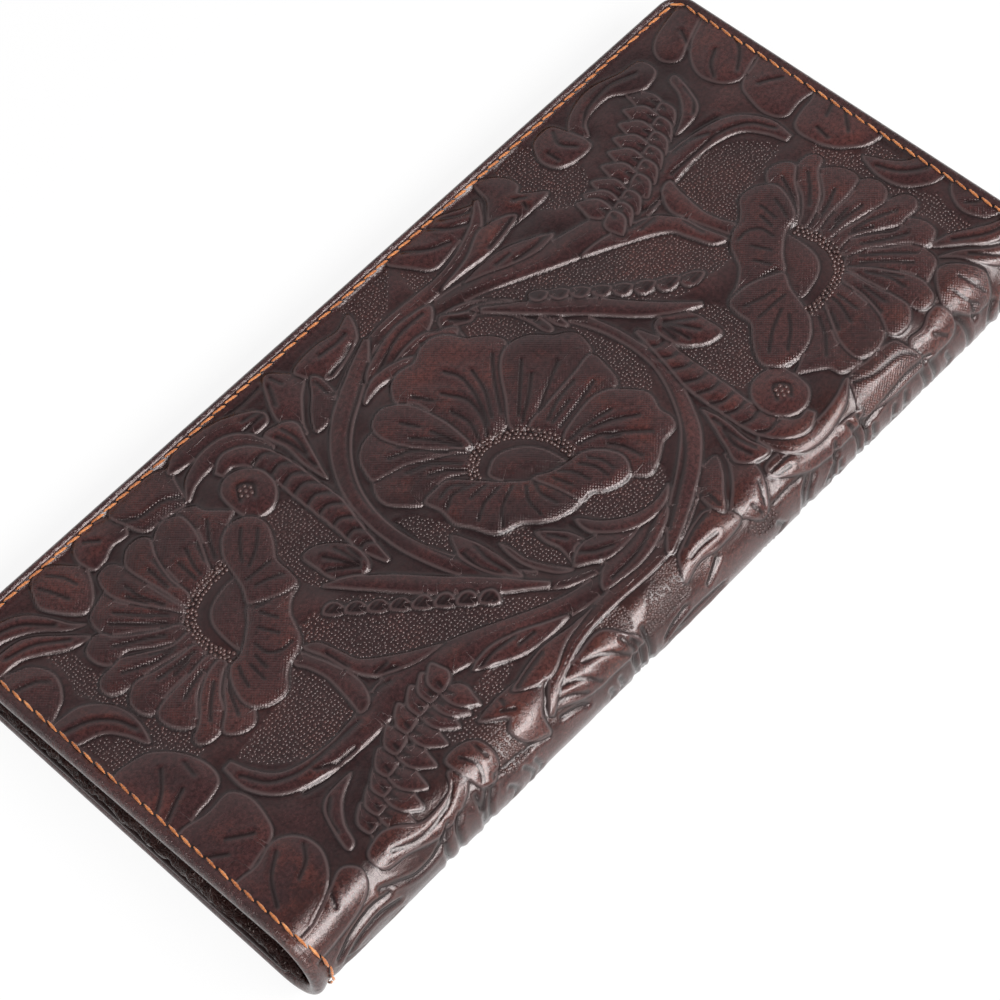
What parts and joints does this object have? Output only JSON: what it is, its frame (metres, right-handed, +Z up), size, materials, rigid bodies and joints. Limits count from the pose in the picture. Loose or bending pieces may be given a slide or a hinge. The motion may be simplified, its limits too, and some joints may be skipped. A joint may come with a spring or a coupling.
{
  "type": "long bifold wallet",
  "caption": "Long bifold wallet in floral tooled leather with contrast stitching, a rounded fold, stepped card pockets, banknote pockets and a zip coin pocket.",
  "frame": {"origin": "under the middle of the closed wallet, on the surface that its back cover rests on", "axes": "+X along the fold, +Y from the fold to the open edge, +Z up through the thickness"},
  "size_m": [0.192, 0.0918, 0.019],
  "materials": {
    "tooled_leather": "dark brown, embossed, glossy",
    "inner_leather": "dark brown, smooth",
    "lining_cloth": "dark woven lining",
    "zip_tape": "dark woven tape",
    "zip_brass": "polished brass",
    "seam_thread": "waxed orange thread"
  },
  "bodies": {
    "back_half": {"back_cover": "tooled_leather", "back_edge_flap_open": "tooled_leather", "back_edge_flap_near": "tooled_leather", "back_edge_flap_far": "tooled_leather", "back_lining": "lining_cloth", "back_banknote_panel": "inner_leather", "coin_pocket_lower": "inner_leather", "coin_pocket_upper": "inner_leather", "coin_gusset_near": "inner_leather", "coin_gusset_far": "inner_leather", "zip_tape_lower": "zip_tape", "zip_tape_upper": "zip_tape", "zip_teeth_lower": "zip_brass", "zip_teeth_upper": "zip_brass", "zip_top_stop_lower": "zip_brass", "zip_top_stop_upper": "zip_brass", "zip_bottom_stop": "zip_brass"},
    "spine": {"spine_cover": "tooled_leather", "spine_lining": "lining_cloth"},
    "front_half": {"front_cover": "tooled_leather", "front_edge_flap_open": "tooled_leather", "front_edge_flap_near": "tooled_leather", "front_edge_flap_far": "tooled_leather", "front_lining": "lining_cloth", "front_banknote_panel": "inner_leather", "card_pocket_1": "inner_leather", "card_pocket_2": "inner_leather", "card_pocket_3": "inner_leather"},
    "zip_slider": {"zip_slider": "zip_brass"},
    "zip_pull": {"zip_pull": "zip_brass"}
  },
  "joints": [
    {"name": "fold_back", "type": "hinge", "parent": "back_half", "child": "spine", "pos_m": [0, -0.0439, 0.00215], "axis": [1, 0, 0], "range_deg": [0, 92.3]},
    {"name": "fold_front", "type": "hinge", "parent": "spine", "child": "front_half", "pos_m": [0, -0.04328, 0.01746], "axis": [1, 0, 0], "range_deg": [0, 92.3]},
    {"name": "zip_slide", "type": "slide", "parent": "back_half", "child": "zip_slider", "axis": [-1, 0, 0], "range_m": [0, 0.1585]},
    {"name": "pull_swivel", "type": "hinge", "parent": "zip_slider", "child": "zip_pull", "pos_m": [0.07925, -0.02724, 0.0075], "axis": [0, 0, 1], "range_deg": [-45, 45]}
  ],
  "couplings": [
    {"joint": "fold_back", "follows": "fold_front", "ratio": 1}
  ]
}
